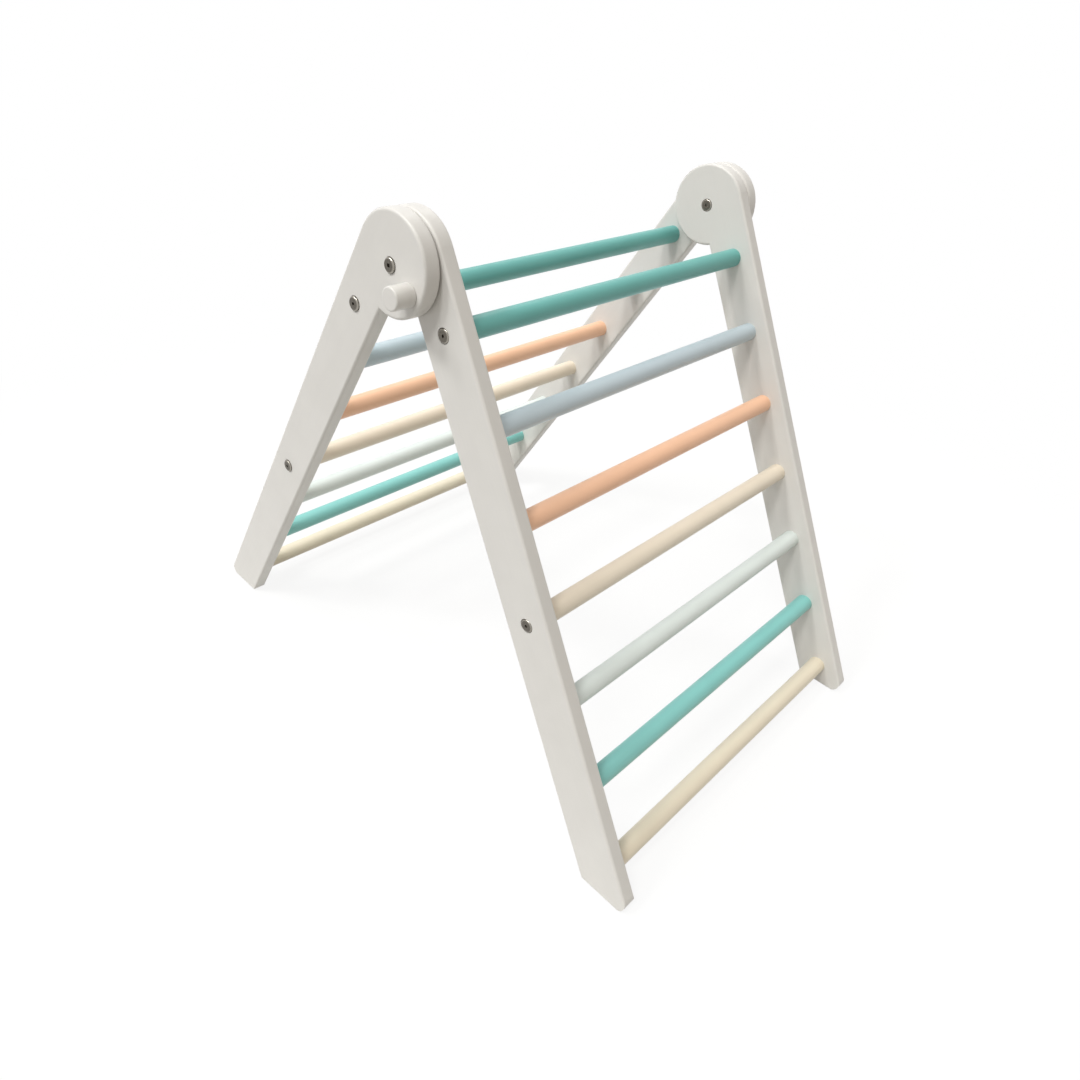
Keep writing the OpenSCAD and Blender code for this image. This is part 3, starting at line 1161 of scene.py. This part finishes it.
@dataclass
class PivotHardware:
    """At each end of the hinge line a bolt, the sleeve that it screws into, and a washer."""

    threads: ThreadTree
    bolt: HeadedBolt = HeadedBolt(
        Thread(d=8, pitch=1.25, depth=0.75),
        RoundHead(d=18.5, h=3.4, hexagon=5),
        neck_l=12.0, lead=0.8,
    )
    sleeve_d: float = 12.0
    sleeve_bore: float = 8.1
    sleeve_floor: float = 2.8
    # Countersink of the sleeve's bore, and chamfer of its tip
    sleeve_mouth: float = 0.5
    sleeve_edge: float = 0.4
    # Gap between the sleeve and the washer's bore
    washer_gap: float = 0.2
    washer_round: float = 0.4
    washer_facets: int = 72

    def build(self) -> None:
        """Makes the pieces of both ends."""
        makers = {
            "pivot_bolt": (self.bolt_mesh, NICKEL), "pivot_sleeve": (self.sleeve_mesh, NICKEL),
            "washer": (self.washer_mesh, NYLON),
        }
        for end in End:
            for kind, (maker, finish) in makers.items():
                node = f"{end.word}_{kind}"
                add_turned(node, maker(*node_reach(node)), finish, Ladder.BACK.body, end)

    def bolt_mesh(self, tip: float, top: float, _: float) -> Mesh:
        """Makes the bolt between its tip and its top, which lies in the outer rail's recess."""
        return self.bolt.mesh(self.threads, tip, top - self.bolt.head.h)

    def sleeve_mesh(self, top: float, tip: float, _: float) -> Mesh:
        """Makes the sleeve: a round head on the inner side and a barrel over the bolt.

        Args:
            top: Place of the head's top on the axis, in millimetres.
            tip: Place of the barrel's open end.

        Returns:
            The sleeve's mesh.
        """
        seat = top + self.bolt.head.h
        r, bore = self.sleeve_d / 2, self.sleeve_bore / 2
        barrel = [
            Ring(seat + self.sleeve_floor, 0), Ring(seat + self.sleeve_floor, bore),
            Ring(tip - self.sleeve_mouth, bore), Ring(tip, bore + self.sleeve_mouth),
            Ring(tip, r - self.sleeve_edge), Ring(tip - self.sleeve_edge, r), Ring(seat, r),
        ]
        head = [replace(ring, x=seat - ring.x) for ring in self.bolt.head.rings()]
        return turned_mesh(barrel + head)

    def washer_mesh(self, inner: float, outer: float, r: float) -> Mesh:
        """Makes the flat washer between the discs, with its edges rounded.

        Args:
            inner: Place of its inner face on the axis, in millimetres.
            outer: Place of its outer face.
            r: Its radius.

        Returns:
            The washer's mesh.
        """
        bore, edge = self.sleeve_d / 2 + self.washer_gap, self.washer_round
        rings = [
            Ring(inner, bore), *arc_rings(inner + edge, r - edge, edge, 180, 90, steps=3),
            *arc_rings(outer - edge, r - edge, edge, 90, 0, steps=3), Ring(outer, bore),
        ]
        return turned_mesh(rings, facets=self.washer_facets, tube=True)


@dataclass
class Lock:
    """The locking knob on the left disc with its screw, insert and pressure pad."""

    threads: ThreadTree
    knob_round: float = 2.5
    knob_facets: int = 96
    # Rounding at the foot of the knob and of the pad
    foot_round: float = 0.6
    screw: Thread = Thread(d=8, pitch=1.25, depth=0.75)
    # Chamfer at either end of the screw's thread
    lead: float = 0.6
    nose_d: float = 5.0
    nose_l: float = 3.0
    nose_edge: float = 0.4
    # How deep the screw is held in the knob, and the room round it
    hold: float = 17.0
    screw_gap: float = 0.05
    insert: Insert = Insert(Thread(d=12, pitch=2.5, depth=0.9), bore=8.16)
    pad_d: float = 11.4
    pad_edge: float = 0.3
    # Room round the nose in the pad, and below it
    nose_gap: float = 0.08
    nose_room: float = 0.3

    def build(self) -> None:
        """Makes the four pieces of the lock, along -X."""
        paint = PaintedWood("white satin paint on knob", "white_paint", WHITE_PAINT)
        for node, maker, finish, body in (
            ("lock_knob", self.knob_mesh, paint, "lock_knob"),
            ("lock_screw", self.screw_mesh, NICKEL, "lock_knob"),
            ("lock_insert", self.insert_mesh, BRASS, Ladder.BACK.body),
            ("lock_pad", self.pad_mesh, BRASS, "lock_pad"),
        ):
            add_turned(node, maker(*node_reach(node)), finish, body, End.LEFT)

    def knob_mesh(self, base: float, top: float, r: float) -> Mesh:
        """Makes the knob: a rod with a rounded outer end, and a blind hole for the screw.

        Args:
            base: Place of its foot on the axis, in millimetres.
            top: Place of its outer end.
            r: Its radius.

        Returns:
            The knob's mesh.
        """
        bore, foot, edge = self.screw.d / 2 + self.screw_gap, self.foot_round, self.knob_round
        rings = [
            Ring(base + self.hold, 0), Ring(base + self.hold, bore), Ring(base, bore),
            *arc_rings(base + foot, r - foot, foot, 180, 90, steps=4),
            *arc_rings(top - edge, r - edge, edge, 90, 0, steps=10), Ring(top, 0),
        ]
        return turned_mesh(rings, facets=self.knob_facets)

    def screw_mesh(self, tip: float, top: float, _: float) -> Mesh:
        """Makes the screw: a thread all along, and a plain nose for the pad.

        Args:
            tip: Place of the nose's tip on the axis, in millimetres.
            top: Place of its other end.

        Returns:
            The screw's mesh.
        """
        core, nose, shoulder = self.screw.core_r, self.nose_d / 2, tip + self.nose_l
        start, end = top - self.lead, shoulder + self.lead
        rings = [
            Ring(tip, 0), Ring(tip, nose - self.nose_edge), Ring(tip + self.nose_edge, nose),
            Ring(shoulder, nose), Ring(end, core), Ring(start, core), Ring(top, core - self.lead),
            Ring(top, 0),
        ]
        ridge = self.screw.ridge(self.threads, NICKEL, start, end)
        return joined_mesh(turned_mesh(rings), ridge)

    def insert_mesh(self, inner: float, outer: float, r: float) -> Mesh:
        """Makes the insert in the outer rail between two places on the X axis."""
        return self.insert.mesh(self.threads, inner, outer, r)

    def pad_mesh(self, base: float, top: float, _: float) -> Mesh:
        """Makes the pressure pad, with a blind hole for the screw's nose.

        Args:
            base: Place of its foot on the axis, in millimetres.
            top: Place of the side with the hole.

        Returns:
            The pad's mesh.
        """
        r, bore, foot = self.pad_d / 2, self.nose_d / 2 + self.nose_gap, self.foot_round
        floor = top - self.nose_l - self.nose_room
        rings = [
            Ring(base, 0), *arc_rings(base + foot, r - foot, foot, 180, 90, steps=4),
            Ring(top - self.pad_edge, r), Ring(top, r - self.pad_edge), Ring(top, bore),
            Ring(floor, bore), Ring(floor, 0),
        ]
        return turned_mesh(rings)


# ---- studio ----


@dataclass(frozen=True)
class Lamp:
    """A soft lamp so far away that its light is parallel."""

    name: str
    # Way from the object to the lamp
    towards: Place
    # How bright it makes a white surface that faces it, where 1 is full white
    level: float
    # Width that it is seen under, in degrees, which softens its shadows
    spread: float
    colour: str = "#fffffd"

    def add(self) -> None:
        """Adds the lamp to the scene."""
        light = bpy.data.lights.new(self.name, "SUN")
        light.energy = self.level * math.pi
        light.angle = math.radians(self.spread)
        light.color = linear_colour(self.colour)[:3]
        lamp = new_object(self.name, light)
        lamp.rotation_euler = Vector(self.towards).to_track_quat("Z", "Y").to_euler()


@dataclass
class Studio:
    """Floor, light and camera, none of which belongs to the object. Its sizes are in metres."""

    floor_size: float = 14.0
    floor_facets: int = 96
    floor_colour: str = "#fafaf8"
    # Share of pure white in what is seen of the floor: this by the object, and all of it away
    # from the object, with the distances from its middle between which it rises
    glow_near: float = 0.87
    glow_from: float = 0.7
    glow_to: float = 1.6
    # The floor throws more light back up where the object stands than away from it: a place
    # beside the object, and the colour up to one distance from it and beyond another
    bounce_at: Place = (0.05, -0.1, 0.0)
    bounce_near: str = "#c2c1bd"
    bounce_far: str = "#9b9a97"
    bounce_from: float = 0.5
    bounce_to: float = 1.3
    lamps: tuple[Lamp, ...] = (
        Lamp("left lamp", (-0.53, 0.0, 0.848), level=0.37, spread=12),
        Lamp("near back lamp", (-0.579, 0.335, 0.743), level=0.32, spread=9),
        Lamp("far back lamp", (-0.432, 0.55, 0.715), level=0.18, spread=12),
        Lamp("right lamp", (0.55, 0.45, 0.70), level=0.06, spread=20),
        Lamp("front lamp", (0.30, -0.18, 0.937), level=0.11, spread=16),
    )
    # Light from all round: its level, how much it rises towards -X, and its colours from +Y
    # and from -Y
    ambient: float = 0.455
    ambient_slope: float = 0.035
    ambient_cool: str = "#eef2fa"
    ambient_warm: str = "#fcf0df"
    camera_at: Place = (-0.90518, -0.71698, 1.01391)
    camera_turn: Place = (56.1227, -5.1468, -44.6719)
    # Width of the camera's sensor in millimetres
    sensor: float = 36.0
    # Focal length and picture centre as pixels of the photograph
    focal_px: float = 813.6
    centre_px: tuple[float, float] = (505.1, 512.4)

    def build(self) -> None:
        """Sets up the scene's floor, world, lamps, camera and plain colour handling."""
        bpy.context.scene.view_settings.view_transform = "Standard"
        self.add_floor()
        self.add_world()
        for lamp in self.lamps:
            lamp.add()
        self.add_camera()
        LOG.info("studio ready")

    def seen_directly(self, tree: NodeTree) -> Socket:
        """Tells what is looked at from what gives light.

        Args:
            tree: Tree of a material or of the world.

        Returns:
            1 where the camera, a reflection or a clear material looks, and 0 for light.
        """
        path = add_node(tree, "ShaderNodeLightPath").outputs
        seen = path["Is Camera Ray"]
        for way in ("Is Glossy Ray", "Is Transmission Ray"):
            either = {0: seen, 1: path[way]}
            seen = add_node(tree, "ShaderNodeMath", either, operation="MAXIMUM").outputs[0]
        return seen

    def floor_paper(self) -> bpy.types.Material:
        """Makes the floor's white paper, as it is seen and as it throws light back.

        Returns:
            The material.
        """
        paper = bpy.data.materials.new("white studio paper")
        paper.use_nodes = True
        tree = paper.node_tree
        tree.nodes.clear()
        place = add_node(tree, "ShaderNodeTexCoord").outputs["Object"]
        away = add_node(tree, "ShaderNodeVectorMath", {0: place}, operation="LENGTH")
        glow = add_node(tree, "ShaderNodeMapRange", {
            "Value": away.outputs["Value"], "From Min": self.glow_from, "From Max": self.glow_to,
            "To Min": self.glow_near, "To Max": 1.0,
        }, interpolation_type="SMOOTHSTEP")
        lit = add_node(tree, "ShaderNodeBsdfDiffuse", {"Color": linear_colour(self.floor_colour)})
        plain = {"Color": linear_colour(PURE_WHITE), "Strength": 1.0}
        white = add_node(tree, "ShaderNodeEmission", plain)
        seen = add_node(tree, "ShaderNodeMixShader", {0: glow, 1: lit, 2: white})
        span = {0: place, 1: self.bounce_at}
        beside = add_node(tree, "ShaderNodeVectorMath", span, operation="DISTANCE")
        fading = add_node(tree, "ShaderNodeMapRange", {
            "Value": beside.outputs["Value"], "From Min": self.bounce_from,
            "From Max": self.bounce_to,
        })
        shade = add_node(tree, "ShaderNodeMix", {
            "Factor": fading, MIX_A: linear_colour(self.bounce_near),
            MIX_B: linear_colour(self.bounce_far),
        }, data_type="RGBA")
        bounce = add_node(tree, "ShaderNodeBsdfDiffuse", {"Color": shade.outputs[MIX_RESULT]})
        terms = {0: self.seen_directly(tree), 1: bounce, 2: seen}
        chosen = add_node(tree, "ShaderNodeMixShader", terms)
        add_node(tree, "ShaderNodeOutputMaterial", {"Surface": chosen})
        return paper

    def add_floor(self) -> None:
        """Adds the pale floor, which fades to plain white away from the object."""
        shape = bmesh.new()
        bmesh.ops.create_circle(
            shape, cap_ends=True, radius=self.floor_size / 2, segments=self.floor_facets
        )
        mesh = finished_mesh(shape)
        mesh.materials.append(self.floor_paper())
        floor = new_object("floor", mesh)

    def add_world(self) -> None:
        """Adds the white surroundings, which light the object at a plain level.

        They are a little brighter towards -X, and warmer towards -Y.
        """
        world = bpy.data.worlds.new("white room")
        world.use_nodes = True
        tree = world.node_tree
        tree.nodes.clear()
        way = add_node(tree, "ShaderNodeTexCoord").outputs["Generated"]
        parts = add_node(tree, "ShaderNodeSeparateXYZ", {0: way}).outputs
        slope = {0: parts["X"], 1: -self.ambient_slope, 2: self.ambient}
        level = add_node(tree, "ShaderNodeMath", slope, operation="MULTIPLY_ADD")
        across = {"Value": parts["Y"], "From Min": 1.0, "From Max": -1.0}
        warmth = add_node(tree, "ShaderNodeMapRange", across)
        tint = add_node(tree, "ShaderNodeMix", {
            "Factor": warmth, MIX_A: linear_colour(self.ambient_cool),
            MIX_B: linear_colour(self.ambient_warm),
        }, data_type="RGBA")
        soft, white = (
            add_node(tree, "ShaderNodeBackground", {"Color": colour, "Strength": strength})
            for colour, strength in (
                (tint.outputs[MIX_RESULT], level),
                (linear_colour(PURE_WHITE), 1.0),
            )
        )
        terms = {0: self.seen_directly(tree), 1: soft, 2: white}
        chosen = add_node(tree, "ShaderNodeMixShader", terms)
        add_node(tree, "ShaderNodeOutputWorld", {"Surface": chosen})
        bpy.context.scene.world = world

    def add_camera(self) -> None:
        """Adds the camera at the photograph's viewing angle."""
        lens = bpy.data.cameras.new("camera")
        lens.sensor_width = self.sensor
        lens.lens = self.focal_px / PHOTO_WIDTH * self.sensor
        lens.shift_x = 0.5 - self.centre_px[0] / PHOTO_WIDTH
        lens.shift_y = self.centre_px[1] / PHOTO_WIDTH - 0.5
        camera = new_object("camera", lens)
        camera.location = self.camera_at
        camera.rotation_euler = [math.radians(turn) for turn in self.camera_turn]
        bpy.context.scene.camera = camera


def corners(box: tuple[Vector, Vector]) -> list[list[float]]:
    """Gives a box as plain lists of numbers."""
    return [list(corner) for corner in box]


def main() -> None:
    """Builds the looks round the frame, one sub-assembly after the other."""
    logging.basicConfig(level=logging.INFO, format="%(name)s: %(message)s")
    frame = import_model()
    fold = next(joint for joint in frame["joints"] if joint["name"] == "fold")
    threads = ThreadTree()
    Studio().build()
    Rails(half_open=fold["range_deg"][1] / 2).dress(frame["nodes"])
    Rungs().build()
    RungFasteners(threads).build()
    PivotHardware(threads).build()
    Lock(threads).build()


if __name__ == "__main__":
    main()
